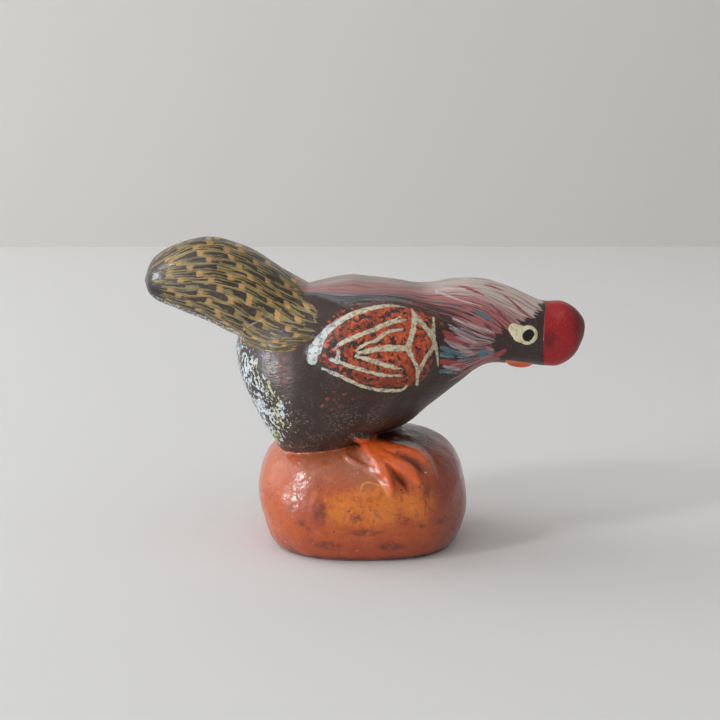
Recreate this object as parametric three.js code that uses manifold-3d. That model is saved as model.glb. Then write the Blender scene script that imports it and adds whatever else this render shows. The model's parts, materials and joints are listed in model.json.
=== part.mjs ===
// Pecking hen on a rock: a small hand-modelled clay figurine, painted and varnished.
// Millimetres, +Z up, +X the way the hen faces, Y across it. The rock stands on z = 0 and the
// hen is the same on both sides of y = 0. Each solid is one piece of clay as it was shaped;
// the narrow gap between neighbours is the slip joint that holds them together.

import * as THREE from 'three';
import { mergeVertices } from 'three/addons/utils/BufferGeometryUtils.js';
import Module from 'manifold-3d';

const wasm = await Module();
wasm.setup();

// ---- Driving dimensions, in mm ----

const SLIP_GAP = 0.3; // joint between two pieces of clay
const FULLNESS = 2.25; // 2 is an oval section, more is squarer
const ROCK_FULLNESS = 2.5;
const BLUNTNESS = 0.5; // of the ends of a clay roll, 1 tapers them

// Joints across the bird, as straight lines in the side view, [x, z] at the foot and at the top.
const SHOULDER = { foot: [5.6, 15.5], top: [9.6, 37.0] };
const CHEEK = { foot: [17.6, 24.6], top: [23.6, 34.6] };
const BROW = { foot: [24.45, 24.0], top: [24.45, 34.0] };

const WING_RELIEF = 1.0; // how far the wing pad stands off the body
const EYE_RELIEF = 0.4;

// A section of a form: two opposite edge points in the side view and half the thickness across.
const section = (first, second, half) => ({ first, second, half });
const tip = (x, z) => section([x, z], [x, z], 0);

// Rump to comb, back edge first and belly edge second.
const BIRD = [
  tip(-17.8, 27.0),
  section([-16.3, 31.2], [-16.5, 22.6], 6.4),
  section([-12.0, 34.3], [-13.9, 16.9], 9.6),
  section([-6.4, 36.0], [-10.4, 12.4], 11.4),
  section([-1.2, 36.9], [-3.4, 11.6], 11.9),
  section([3.6, 36.4], [3.6, 14.6], 11.2),
  section([7.6, 35.9], [8.6, 19.2], 9.4),
  section([12.0, 36.4], [12.6, 22.3], 7.6),
  section([16.4, 36.3], [16.3, 24.8], 6.2),
  section([20.4, 35.1], [20.2, 24.9], 5.2),
  section([24.4, 33.4], [24.4, 24.6], 4.3),
  section([26.8, 33.3], [26.4, 24.6], 3.8),
  section([28.8, 32.2], [28.4, 26.0], 3.0),
  section([29.8, 30.8], [29.6, 28.2], 1.6),
  tip(30.0, 29.6),
];

// Tail tip to tail root.
const TAIL = [
  tip(-30.0, 36.3),
  section([-28.7, 39.3], [-28.9, 34.2], 2.8),
  section([-25.2, 41.3], [-25.6, 32.5], 4.2),
  section([-20.6, 42.2], [-21.4, 30.7], 5.2),
  section([-16.0, 40.8], [-17.6, 29.0], 5.8),
  section([-11.4, 37.9], [-13.0, 28.4], 6.0),
  section([-7.0, 35.2], [-8.0, 28.6], 5.4),
  tip(-4.0, 32.0),
];

// Underside to top, left edge first and right edge second.
const ROCK = [
  tip(-0.4, 0),
  section([-8.6, 0], [7.8, 0], 7.8),
  section([-12.7, 0.2], [12.1, 0.2], 11.2),
  section([-14.0, 3.6], [13.7, 3.6], 12.9),
  section([-14.4, 7.8], [13.8, 7.6], 13.2),
  section([-13.2, 12.4], [12.6, 12.2], 11.8),
  section([-9.8, 14.6], [9.3, 14.6], 8.8),
  tip(0, 15.5),
];

const BEAK = [
  tip(18.9, 25.6),
  section([19.9, 26.4], [19.6, 24.6], 1.0),
  section([21.4, 26.6], [21.4, 24.1], 1.5),
  section([22.8, 26.2], [22.8, 24.4], 1.1),
  tip(23.5, 25.3),
];

// The wing: a leaf with its point to the tail and its round end at the shoulder. It is drawn
// across a sloping plane through WING_SEAT, as [x, distance up the slope].
const WING_SEAT = { y: -10.5, z: 29, lean: 0.4 };
const WING_OUTLINE = [
  [-7.6, -0.6], [-5.6, 1.8], [-2.2, 4.6], [2.4, 6.3], [6.8, 5.6],
  [9.4, 3.4], [9.8, 0], [8.6, -3.2], [4.6, -5.2], [-0.4, -5.0], [-4.8, -3.3],
];

// The eye: a drop with its point up and back, drawn the same way.
const EYE_SEAT = { y: -5, z: 29, lean: 0 };
const EYE_OUTLINE = [
  [19.7, 1.3], [21.4, 1.3], [22.8, 0.5], [22.8, -0.8], [21.6, -1.4], [20.5, -0.6],
];

// The leg and toes as clay rolls lying on the flank of the rock: [x, z] along each roll.
const LEG = {
  path: [[-1.6, 15.2], [0.3, 14.2], [1.9, 13.0], [2.9, 12.1]],
  radius: [1.5, 1.7, 1.8, 1.5],
};
const TOES = {
  upper: { path: [[2.6, 13.8], [5.0, 13.9], [7.4, 13.3], [9.4, 12.0]], radius: [1.1, 1.2, 1.2, 1.0] },
  middle: { path: [[3.8, 12.4], [5.4, 11.5], [6.9, 10.6], [8.2, 9.5]], radius: [1.1, 1.2, 1.2, 1.0] },
  lower: { path: [[3.0, 11.2], [3.5, 10.1], [3.9, 9.0], [4.3, 7.8]], radius: [1.1, 1.2, 1.2, 1.0] },
};

// ---- Shaping ----

function smoothLine(points) {
  return new THREE.CatmullRomCurve3(points, false, 'centripetal');
}

// Closed geometry with shared corners, optionally swollen by `grow` along its normals.
function closed(geometry, grow) {
  const skin = new THREE.BufferGeometry();
  skin.setAttribute('position', geometry.getAttribute('position'));
  skin.setIndex(geometry.getIndex());
  const merged = mergeVertices(skin, 1e-4);
  merged.computeVertexNormals();
  const position = merged.getAttribute('position');
  const normal = merged.getAttribute('normal');
  for (let i = 0; i < position.count; i += 1) {
    position.setXYZ(
      i,
      position.getX(i) + grow * normal.getX(i),
      position.getY(i) + grow * normal.getY(i),
      position.getZ(i) + grow * normal.getZ(i),
    );
  }
  return merged;
}

// A lump of clay: the rings of a sphere are drawn out to the sections, from first to last.
function lump(sections, { rings, sectors, fullness = FULLNESS, grow = 0 }) {
  const firstEdge = smoothLine(sections.map((s) => new THREE.Vector3(s.first[0], 0, s.first[1])));
  const secondEdge = smoothLine(sections.map((s) => new THREE.Vector3(s.second[0], 0, s.second[1])));
  const halves = smoothLine(sections.map((s, i) => new THREE.Vector3(i, s.half, 0)));
  const round = (value) => Math.sign(value) * Math.abs(value) ** (2 / fullness);

  const sphere = new THREE.SphereGeometry(1, sectors, rings);
  const position = sphere.getAttribute('position');
  const uv = sphere.getAttribute('uv');
  for (let i = 0; i < position.count; i += 1) {
    const along = 1 - uv.getY(i);
    const turn = 2 * Math.PI * uv.getX(i);
    const first = firstEdge.getPoint(along);
    const second = secondEdge.getPoint(along);
    const half = Math.max(0, halves.getPoint(along).y);
    const point = first.clone().add(second).multiplyScalar(0.5);
    point.addScaledVector(first.sub(second), 0.5 * round(Math.cos(turn)));
    point.y = half * round(Math.sin(turn));
    position.setXYZ(i, point.x, point.y, point.z);
  }
  return closed(sphere, grow);
}

// A roll of clay along a path of [x, y, z] points, blunt at both ends.
function roll(path, radius, { rings, sectors, grow = 0 }) {
  const line = smoothLine(path.map((p) => new THREE.Vector3(...p)));
  const radii = smoothLine(radius.map((r, i) => new THREE.Vector3(i, r, 0)));

  const sphere = new THREE.SphereGeometry(1, sectors, rings);
  const position = sphere.getAttribute('position');
  const uv = sphere.getAttribute('uv');
  for (let i = 0; i < position.count; i += 1) {
    const polar = Math.PI * (1 - uv.getY(i));
    const turn = 2 * Math.PI * uv.getX(i);
    const along = (1 - Math.cos(polar)) / 2;
    const tangent = line.getTangent(along);
    const outward = new THREE.Vector3(0, -1, 0).projectOnPlane(tangent).normalize();
    const across = outward.clone().cross(tangent);
    const size = radii.getPoint(along).y * Math.sin(polar) ** BLUNTNESS;
    const point = line.getPoint(along);
    point.addScaledVector(outward, size * Math.cos(turn));
    point.addScaledVector(across, size * Math.sin(turn));
    position.setXYZ(i, point.x, point.y, point.z);
  }
  return closed(sphere, grow);
}

function mirrored(geometry) {
  const copy = geometry.clone();
  copy.scale(1, -1, 1);
  const index = copy.getIndex();
  for (let i = 0; i < index.count; i += 3) {
    const second = index.getX(i + 1);
    index.setX(i + 1, index.getX(i + 2));
    index.setX(i + 2, second);
  }
  return copy;
}

// ---- Joining and cutting ----

function solid(geometry) {
  return new wasm.Manifold(new wasm.Mesh({
    numProp: 3,
    vertProperties: new Float32Array(geometry.getAttribute('position').array),
    triVerts: new Uint32Array(geometry.getIndex().array),
  }));
}

function geometryOf(body) {
  const mesh = body.getMesh();
  const geometry = new THREE.BufferGeometry();
  geometry.setAttribute('position', new THREE.BufferAttribute(new Float32Array(mesh.vertProperties), 3));
  geometry.setIndex(new THREE.BufferAttribute(new Uint32Array(mesh.triVerts), 1));
  return geometry;
}

// A block that fills one side of a joint: in front of it if `side` is 1, behind it if -1.
function beyond({ foot, top }, side) {
  const reach = 100;
  const lean = Math.atan2(top[0] - foot[0], top[1] - foot[1]);
  const block = new THREE.BoxGeometry(reach, reach, reach);
  block.translate(side * (reach / 2 + SLIP_GAP / 2), 0, 0);
  block.rotateY(lean);
  block.translate((foot[0] + top[0]) / 2, 0, (foot[1] + top[1]) / 2);
  return solid(closed(block, 0));
}

// A prism that leaves the near side of the hen square to its skin, with a smooth closed outline.
function outwardPrism(outline, seat, corners) {
  const below = 3;
  const curve = new THREE.CatmullRomCurve3(
    outline.map(([x, up]) => new THREE.Vector3(x, up, 0)),
    true,
    'centripetal',
  );
  const corner = curve.getPoints(corners).slice(0, -1);
  const shape = new THREE.Shape(corner.map((p) => new THREE.Vector2(p.x, p.y)));
  const prism = new THREE.ExtrudeGeometry(shape, { depth: 20, bevelEnabled: false });
  prism.translate(0, 0, -below);
  prism.rotateX(Math.PI / 2 - seat.lean);
  prism.translate(0, seat.y, seat.z);
  return solid(closed(prism, 0));
}

// ---- The pieces ----

const rockForm = (grow) => lump(ROCK, { rings: 22, sectors: 40, fullness: ROCK_FULLNESS, grow });
const birdForm = (grow) => lump(BIRD, { rings: 44, sectors: 36, grow });
const tailForm = (grow) => lump(TAIL, { rings: 20, sectors: 28, grow });
const beakForm = (grow) => lump(BEAK, { rings: 10, sectors: 16, grow });

const rockGeometry = rockForm(0);
const rockPosition = rockGeometry.getAttribute('position');
for (let i = 0; i < rockPosition.count; i += 1) {
  rockPosition.setZ(i, Math.max(0, rockPosition.getZ(i)));
}
const rock = solid(rockGeometry);
const rockSeat = solid(rockForm(SLIP_GAP));
const bird = solid(birdForm(0));
const birdSeat = solid(birdForm(SLIP_GAP));

const onBird = bird.subtract(rockSeat);
const beak = solid(beakForm(0));
const beakSeat = solid(beakForm(SLIP_GAP));
const torso = onBird.intersect(beyond(SHOULDER, -1));
const neck = onBird.intersect(beyond(SHOULDER, 1)).intersect(beyond(CHEEK, -1)).subtract(beakSeat);
const head = onBird.intersect(beyond(CHEEK, 1)).intersect(beyond(BROW, -1)).subtract(beakSeat);
const comb = onBird.intersect(beyond(BROW, 1));
const tail = solid(tailForm(0)).subtract(birdSeat);

// A pad of even thickness on the hen's skin, one slip gap off it.
const pad = (outline, seat, relief, corners) => (
  solid(birdForm(SLIP_GAP + relief))
    .subtract(birdSeat)
    .intersect(outwardPrism(outline, seat, corners))
);
const wing = pad(WING_OUTLINE, WING_SEAT, WING_RELIEF, 44);
const eye = pad(EYE_OUTLINE, EYE_SEAT, EYE_RELIEF, 20);

// Where a line straight through the hen's side first meets the rock.
const rockMesh = new THREE.Mesh(rockGeometry, new THREE.MeshBasicMaterial());
function onRock([x, z]) {
  const ray = new THREE.Raycaster(new THREE.Vector3(x, -50, z), new THREE.Vector3(0, 1, 0));
  const [hit] = ray.intersectObject(rockMesh);
  return [x, hit.point.y, z];
}

const rollForm = ({ path, radius }, grow) => (
  solid(roll(path.map(onRock), radius, { rings: 14, sectors: 14, grow }))
);
const leg = rollForm(LEG, 0).subtract(rockSeat).subtract(birdSeat);
const legSeat = rollForm(LEG, SLIP_GAP);
const toeBeside = (toe, neighbour) => (
  rollForm(toe, 0).subtract(rockSeat).subtract(legSeat).subtract(rollForm(neighbour, SLIP_GAP))
);
const toes = {
  upper: rollForm(TOES.upper, 0).subtract(rockSeat).subtract(legSeat),
  middle: toeBeside(TOES.middle, TOES.upper),
  lower: toeBeside(TOES.lower, TOES.middle),
};

// ---- The assembly ----

const figurine = new THREE.Group();
figurine.name = 'pecking_hen_figurine';

function add(name, geometry, color, roughness) {
  const material = new THREE.MeshStandardMaterial({ color, roughness, metalness: 0 });
  const mesh = new THREE.Mesh(geometry, material);
  mesh.name = name;
  figurine.add(mesh);
}

function addPair(name, body, color, roughness) {
  const geometry = geometryOf(body);
  add(`${name}_right`, geometry, color, roughness);
  add(`${name}_left`, mirrored(geometry), color, roughness);
}

add('rock', geometryOf(rock), 0xb0522a, 0.25);
add('torso', geometryOf(torso), 0x3c2f2c, 0.4);
add('tail', geometryOf(tail), 0x96874f, 0.4);
add('neck', geometryOf(neck), 0xa6686c, 0.4);
add('head', geometryOf(head), 0x3e3432, 0.4);
add('comb', geometryOf(comb), 0xa8282e, 0.4);
add('beak', geometryOf(beak), 0xc84b1e, 0.4);
addPair('wing', wing, 0xaa3c23, 0.4);
addPair('eye', eye, 0xf0e2c0, 0.4);
addPair('leg', leg, 0xcc5a28, 0.3);
for (const [place, body] of Object.entries(toes)) {
  addPair(`toe_${place}`, body, 0xcc5a28, 0.3);
}

export default figurine;
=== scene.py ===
"""Pecking hen on a rock: the looks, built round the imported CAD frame.

Shapes are worked out in millimetres and scaled to metres at the end. The bird, tail, beak, rock,
legs and toes are shaped as separate lumps, fused into one skin as the fired clay is, and the skin
is then divided again into the frame's named pieces. Where the paint goes is worked out at each
corner of the skin, and the materials lay it on coat by coat.
"""

import json
import math

import bpy
import numpy as np
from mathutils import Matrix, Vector, noise
from mathutils.bvhtree import BVHTree
from mathutils.geometry import barycentric_transform


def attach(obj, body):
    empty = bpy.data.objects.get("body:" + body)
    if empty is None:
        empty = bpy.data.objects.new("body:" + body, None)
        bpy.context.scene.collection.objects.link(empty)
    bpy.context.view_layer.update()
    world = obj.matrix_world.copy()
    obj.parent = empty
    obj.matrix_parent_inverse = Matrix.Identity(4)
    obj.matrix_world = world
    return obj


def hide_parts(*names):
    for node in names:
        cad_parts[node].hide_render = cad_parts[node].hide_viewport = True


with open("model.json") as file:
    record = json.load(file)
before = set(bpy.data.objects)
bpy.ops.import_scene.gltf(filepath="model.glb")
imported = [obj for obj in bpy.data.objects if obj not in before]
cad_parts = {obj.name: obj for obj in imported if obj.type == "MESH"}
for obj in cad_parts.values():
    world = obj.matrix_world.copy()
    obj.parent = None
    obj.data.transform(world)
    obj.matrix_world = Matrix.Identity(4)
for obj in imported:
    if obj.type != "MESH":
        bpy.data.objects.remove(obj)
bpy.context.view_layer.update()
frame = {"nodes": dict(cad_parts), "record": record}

MM = 0.001
BODY = "root"
VOXEL = 0.21
SEAM_DEPTH = 0.7  # how far a piece's rim is turned in under the skin

# ---- Sizes of the clay forms, in mm ----
# A section is (first x, first z, second x, second z, half thickness): two opposite edge points
# in the side view, and half the thickness across.

BIRD = [  # rump to comb, back edge first
    (-17.8, 27.0, -17.8, 27.0, 0),
    (-16.3, 31.2, -16.5, 22.6, 6.4),
    (-12.0, 34.3, -13.9, 16.9, 9.6),
    (-6.4, 36.0, -10.4, 12.4, 11.4),
    (-2.0, 36.9, -4.2, 12.0, 11.9),
    (1.2, 36.7, 0.6, 15.0, 11.6),
    (3.8, 36.4, 5.1, 16.5, 11.0),
    (7.6, 35.9, 9.1, 19.6, 9.4),
    (12.0, 36.4, 12.6, 22.3, 7.6),
    (16.4, 36.3, 16.3, 24.8, 6.2),
    (20.4, 35.1, 20.2, 24.9, 5.2),
    (24.4, 33.4, 24.4, 24.6, 4.3),
    (26.8, 33.3, 26.4, 24.6, 3.8),
    (28.8, 32.2, 28.4, 26.0, 3.0),
    (29.8, 30.8, 29.6, 28.2, 1.6),
    (30.0, 29.6, 30.0, 29.6, 0),
]
TAIL = [  # tip to root, upper edge first
    (-30.0, 36.3, -30.0, 36.3, 0),
    (-28.7, 39.3, -28.9, 34.2, 2.8),
    (-25.2, 41.3, -25.6, 32.5, 4.2),
    (-20.6, 42.2, -21.4, 30.7, 5.2),
    (-16.0, 40.8, -17.6, 29.0, 5.8),
    (-11.4, 37.9, -13.0, 28.4, 6.0),
    (-7.0, 35.2, -8.0, 28.6, 5.4),
    (-4.0, 32.0, -4.0, 32.0, 0),
]
BEAK = [
    (18.9, 25.6, 18.9, 25.6, 0),
    (19.9, 26.4, 19.6, 24.6, 1.0),
    (21.4, 26.6, 21.4, 24.1, 1.5),
    (22.8, 26.2, 22.8, 24.4, 1.1),
    (23.5, 25.3, 23.5, 25.3, 0),
]
ROCK = [  # underside to top, left edge first
    (-0.4, 0, -0.4, 0, 0),
    (-8.6, 0, 7.8, 0, 7.8),
    (-12.4, 0.2, 12.0, 0.2, 11.1),
    (-14.2, 3.8, 13.8, 3.6, 12.9),
    (-14.8, 8.2, 14.0, 7.8, 13.2),
    (-13.4, 12.4, 12.5, 12.2, 11.2),
    (-9.8, 14.8, 8.8, 14.8, 7.6),
    (0, 15.9, 0, 15.9, 0),
]
BIRD_FULLNESS = 2.25
ROCK_FULLNESS = 2.5

# The wing is worked on a plane through its seat, leaning in towards the back: (x, up).
WING_SEAT_Y = -10.5
WING_SEAT_Z = 29.0
WING_LEAN = 0.4
WING_OUTLINE = [
    (-7.6, -0.6),
    (-5.6, 1.8),
    (-2.2, 4.6),
    (2.4, 6.3),
    (6.8, 5.6),
    (9.4, 3.4),
    (9.8, 0),
    (8.6, -3.2),
    (4.6, -5.2),
    (-0.4, -5.0),
    (-4.8, -3.3),
]

# ---- Painted marks, in mm ----
# A stroke is a list of (first, second, half width) along it.

WING_STROKES = [  # cream, on the wing's plane
    [
        (-6.4, -0.2, 0.95),
        (-5.4, 1.7, 0.6),
        (-2.9, 3.7, 0.5),
        (0.2, 4.9, 0.45),
        (2.6, 5.5, 0.35),
        (5.1, 5.6, 0.12),
    ],
    [(-4.0, -0.4, 0.15), (-3.0, 0.4, 0.3), (-0.4, 1.5, 0.3), (1.5, 2.3, 0.35), (4.5, 3.9, 0.12)],
    [(1.6, 2.4, 0.3), (4.0, 3.2, 0.25), (5.1, 3.5, 0.12)],
    [(-1.2, -0.5, 0.15), (0.0, 0.3, 0.22), (1.3, 0.8, 0.25), (2.7, 1.8, 0.25), (4.8, 2.3, 0.12)],
    [(-1.0, -0.8, 0.25), (0.9, -0.4, 0.38), (3.0, -0.1, 0.42), (5.4, -0.1, 0.38)],
    [(-1.2, -1.2, 0.2), (0.2, -1.5, 0.3), (3.3, -2.3, 0.28), (4.7, -2.5, 0.12)],
    [(-4.4, -1.6, 0.3), (-1.5, -2.5, 0.25), (2.0, -3.3, 0.25), (5.1, -3.3, 0.1)],
    [(-3.4, -0.5, 0.25), (-3.5, -1.8, 0.3)],
    [
        (-5.6, -2.7, 0.2),
        (-2.7, -3.9, 0.27),
        (-0.6, -4.8, 0.25),
        (2.2, -5.3, 0.25),
        (4.8, -5.1, 0.22),
        (5.4, -4.5, 0.1),
    ],
    [
        (6.1, 5.4, 0.12),
        (6.3, 4.2, 0.4),
        (6.0, 2.2, 0.35),
        (5.4, -0.1, 0.4),
        (5.8, -1.0, 0.3),
        (6.5, -2.3, 0.3),
        (6.7, -4.3, 0.25),
    ],
    [(6.3, 4.5, 0.4), (7.4, 3.1, 0.4), (8.6, 1.6, 0.35), (9.0, 0.6, 0.3)],
    [(8.9, 0.6, 0.3), (7.7, -0.8, 0.28), (6.9, -2.2, 0.3)],
    [(9.0, 4.4, 0.15), (8.9, 3.1, 0.3), (8.8, 1.7, 0.35), (9.2, 0.2, 0.3), (9.6, -1.9, 0.12)],
    [(-6.8, -0.2, 0.7), (-6.9, -1.5, 0.75)],
]
# From here on, marks are (x, z) in the side view.
EYE_STROKES = [[(21.7, 29.65, 1.33), (21.8, 29.6, 1.33)], [(19.8, 30.6, 0.74), (20.8, 29.8, 1.15)]]
PUPIL_STROKES = [[(21.7, 29.6, 0.76), (21.85, 29.75, 0.72)]]
FOOT_STROKES = [  # leg and lower toe, middle toe, upper toe
    [(-0.9, 16.8, 0.85), (0.4, 15.1, 1.1), (1.6, 13.4, 0.95), (2.6, 12.0, 0.75), (3.5, 10.0, 0.4)],
    [(1.4, 14.2, 0.9), (2.6, 13.6, 0.9), (4.0, 13.0, 0.85), (5.9, 12.1, 0.75), (7.3, 10.4, 0.3)],
    [
        (1.2, 14.7, 0.6),
        (2.8, 14.4, 0.7),
        (4.7, 14.2, 0.6),
        (6.7, 13.8, 0.55),
        (8.3, 12.8, 0.45),
        (9.3, 11.2, 0.15),
    ],
]
ANKLE = (1.5, 14.4)
FAR_FOOT_DROP = 0.8  # the far foot sits a little lower and flatter
FAR_FOOT_SHARE = 0.6
TOE_GROOVES = [
    [(4.6, 13.8, 0.04), (5.7, 13.5, 0.14), (7.0, 12.8, 0.2), (7.9, 12.0, 0.06)],
    [(3.1, 12.7, 0.04), (4.1, 11.9, 0.15), (5.0, 11.1, 0.18), (5.8, 10.2, 0.05)],
]
GLAZE_RIDGE = [[(-2.6, 14.0, 0.03), (-1.1, 13.3, 0.08), (0.4, 12.7, 0.1), (2.0, 11.8, 0.03)]]
THIGH = [[(0.4, 17.2, 0.5), (2.2, 19.3, 0.9), (4.2, 21.6, 0.5)]]
RED_DOTS = [
    [(-4.0, 23.4, 0.16), (-4.0, 23.5, 0.12)],
    [(-2.7, 23.1, 0.22), (-2.5, 23.2, 0.2)],
    [(-1.6, 22.4, 0.18), (-1.5, 22.5, 0.15)],
    [(-5.0, 22.4, 0.2), (-4.8, 22.5, 0.24)],
    [(-4.2, 22.3, 0.1), (-3.9, 22.3, 0.12)],
    [(-5.6, 21.4, 0.2), (-5.5, 21.6, 0.22)],
    [(-4.6, 20.9, 0.12), (-4.2, 21.0, 0.14)],
    [(-3.6, 21.4, 0.14), (-3.3, 21.5, 0.1)],
    [(-0.2, 22.9, 0.12), (0.1, 22.9, 0.1)],
]
GLAZE_LINE = [
    [(-0.6, 10.4, 0.08), (-0.3, 11.0, 0.1), (0.4, 11.2, 0.09), (1.8, 10.9, 0.08), (2.7, 10.8, 0.03)],
]
# Bars low on the neck, behind the throat.
ROSE_STROKES = [
    [(10.4, 30.7, 0.22), (11.0, 30.2, 0.42), (12.1, 29.5, 0.3), (13.4, 28.6, 0.1)],
    [(10.0, 26.9, 0.28), (11.4, 26.4, 0.42), (12.6, 26.0, 0.32), (13.5, 25.6, 0.1)],
    [(14.6, 25.5, 0.2), (16.0, 26.0, 0.45), (17.3, 26.6, 0.5), (18.7, 27.6, 0.25)],
]
MAUVE_STROKES = [
    [(10.7, 29.7, 0.25), (11.6, 29.1, 0.48), (12.9, 28.3, 0.45), (14.4, 27.3, 0.2)],
    [(11.2, 31.2, 0.1), (12.3, 30.5, 0.25), (13.6, 29.7, 0.3), (15.3, 28.6, 0.15)],
    [(11.6, 32.3, 0.1), (13.2, 31.6, 0.25), (15.2, 30.8, 0.3), (17.2, 30.2, 0.15)],
    [(10.4, 26.1, 0.2), (11.7, 25.6, 0.32), (12.9, 25.1, 0.12)],
]
TEAL_STROKES = [
    [(9.9, 28.7, 0.25), (11.4, 28.1, 0.33), (12.7, 27.4, 0.22), (13.9, 26.6, 0.08)],
    [(9.9, 27.8, 0.28), (10.8, 27.6, 0.35), (11.7, 27.2, 0.12)],
    [(10.0, 25.4, 0.18), (11.2, 25.1, 0.3), (12.3, 24.7, 0.1)],
    [(14.2, 33.3, 0.08), (15.5, 32.6, 0.24), (16.9, 31.8, 0.1)],
    [(12.2, 31.2, 0.06), (13.2, 30.6, 0.14), (14.6, 29.9, 0.05)],
]
WHITE_STROKES = [
    [(5.6, 35.9, 0.04), (8.7, 35.6, 0.1), (10.1, 35.3, 0.14), (11.5, 34.9, 0.12), (15.2, 33.7, 0.04)],
    [(11.4, 32.5, 0.05), (12.4, 32.0, 0.14), (13.8, 31.5, 0.05)],
    [(11.0, 31.6, 0.05), (12.0, 31.0, 0.12), (13.2, 30.3, 0.04)],
]
RED_STROKES = [
    [(12.6, 36.0, 0.05), (14.0, 35.7, 0.14), (15.8, 35.0, 0.06)],
    [(15.9, 36.1, 0.04), (17.2, 35.8, 0.1), (18.6, 35.3, 0.04)],
    [(18.4, 34.9, 0.06), (19.8, 33.9, 0.16), (21.0, 32.8, 0.16), (23.2, 31.2, 0.06)],
    [(16.6, 34.0, 0.05), (18.2, 32.4, 0.16), (19.8, 30.9, 0.06)],
]
RUMP_LINE = [(-15.3, 29.2), (-12.5, 25.3), (-10.0, 21.5), (-9.8, 18.0), (-10.6, 14.0)]

# Lines along which the brush went on the tail, root to tip and upper first, as (x, z).
TAIL_LINES = [
    [(-7.4, 36.0), (-9.7, 37.2), (-13.2, 39.6), (-16.6, 41.7), (-20.3, 42.6), (-24.8, 41.8), (-30, 37.6)],
    [(-6.6, 34.2), (-10.0, 35.6), (-13.3, 37.5), (-16.6, 39.1), (-20.6, 40.0), (-24.7, 39.4), (-30, 37.0)],
    [(-5.9, 32.0), (-10.6, 33.1), (-13.9, 34.9), (-17.3, 36.4), (-21.3, 37.1), (-25.3, 37.0), (-30, 36.4)],
    [(-6.1, 30.3), (-11.2, 30.8), (-15.1, 31.7), (-18.0, 33.2), (-20.7, 34.2), (-24.1, 34.8), (-30, 35.8)],
    [(-7.4, 29.7), (-11.2, 28.5), (-14.2, 28.7), (-17.5, 29.3), (-20.7, 31.2), (-24.6, 32.8), (-30, 35.2)],
]
# Lines along which the brush went on the back and neck, face to tail and spine first, as
# (x, degrees round the body from the spine).
HACKLE_LINES = [
    [(24.6, 0), (16.8, 0), (8.5, 0), (0, 0), (-9.0, 0)],
    [(23.6, 52), (20.0, 42), (16.7, 31), (12.7, 19), (8.8, 10), (0, 11), (-9.0, 6)],
    [(20.8, 80), (16.6, 62), (12.6, 44), (8.6, 30), (4.5, 25), (-2.0, 24), (-8.6, 12)],
    [(17.6, 100), (14.2, 82), (11.2, 63), (8.5, 46), (5.9, 37), (0.9, 35), (-2.7, 37), (-7.1, 20)],
    [(17.4, 116), (14.6, 103), (11.6, 88), (9.0, 74)],
    [(18.4, 134), (15.4, 128), (12.4, 116), (9.0, 102)],
    [(18.6, 160), (15.0, 156), (12.0, 148), (8.8, 136)],
]
DEGREES_PER_MM = 6.0

# ---- How far the marks stand out of the skin, in mm ----

WING_RELIEF = 0.75
EYE_RELIEF = 0.2
FOOT_RELIEF = 1.0
TOE_THINNING = 0.45  # the share of its relief that a toe loses by its tip
GROOVE_DEPTH = 0.55
RIDGE_RELIEF = 0.3
THIGH_RELIEF = 0.5
ELSEWHERE = 9.0  # the gap given to places that a mark doesn't reach


# ---- Shaping ----


def smooth_line(points, t):
    """Points of the centripetal Catmull-Rom curve through points, at t from 0 to 1."""
    points = np.asarray(points, float)
    ends = (2 * points[0] - points[1], 2 * points[-1] - points[-2])
    padded = np.vstack([ends[0], points, ends[1]])
    place = np.clip(np.asarray(t, float), 0, 1) * (len(points) - 1)
    first = np.minimum(place.astype(int), len(points) - 2)
    w = (place - first)[:, None]
    p0, p1, p2, p3 = (padded[first + k] for k in range(4))

    def gap(a, b):
        return np.maximum(np.linalg.norm(b - a, axis=1) ** 0.5, 1e-4)[:, None]

    d01, d12, d23 = gap(p0, p1), gap(p1, p2), gap(p2, p3)
    slope1 = ((p1 - p0) / d01 - (p2 - p0) / (d01 + d12) + (p2 - p1) / d12) * d12
    slope2 = ((p2 - p1) / d12 - (p3 - p1) / (d12 + d23) + (p3 - p2) / d23) * d12
    return (
        (2 * w**3 - 3 * w**2 + 1) * p1
        + (w**3 - 2 * w**2 + w) * slope1
        + (3 * w**2 - 2 * w**3) * p2
        + (w**3 - w**2) * slope2
    )


def ball_grid(rings, sectors):
    """Along (0 to 1) and turn (radians) of each corner of a closed ball grid, and its faces."""
    along = np.repeat(np.arange(1, rings) / rings, sectors)
    turn = np.tile(np.arange(sectors) * 2 * math.pi / sectors, rings - 1)
    along = np.concatenate([along, [0, 1]])
    turn = np.concatenate([turn, [0, 0]])
    start, end = len(along) - 2, len(along) - 1
    faces = []
    for s in range(sectors):
        n = (s + 1) % sectors
        faces.append((start, s, n))
        last = (rings - 2) * sectors
        faces.append((last + n, last + s, end))
        for r in range(rings - 2):
            a, b = r * sectors, (r + 1) * sectors
            faces.append((a + s, b + s, b + n, a + n))
    return along, turn, faces


def lump(sections, rings, sectors, fullness):
    """A closed lump of clay through its sections, as corners, faces, along and turn."""
    table = np.asarray(sections, float)
    along, turn, faces = ball_grid(rings, sectors)
    first = smooth_line(table[:, 0:2], along)
    second = smooth_line(table[:, 2:4], along)
    steps = np.column_stack([np.arange(len(table)), table[:, 4]])
    half = np.maximum(0, smooth_line(steps, along)[:, 1])

    def rounded(value):
        return np.sign(value) * np.abs(value) ** (2 / fullness)

    middle = (first + second) / 2 + (first - second) / 2 * rounded(np.cos(turn))[:, None]
    corners = np.column_stack([middle[:, 0], half * rounded(np.sin(turn)), middle[:, 1]])
    return {"corners": corners, "faces": faces, "along": along, "turn": turn}


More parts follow.
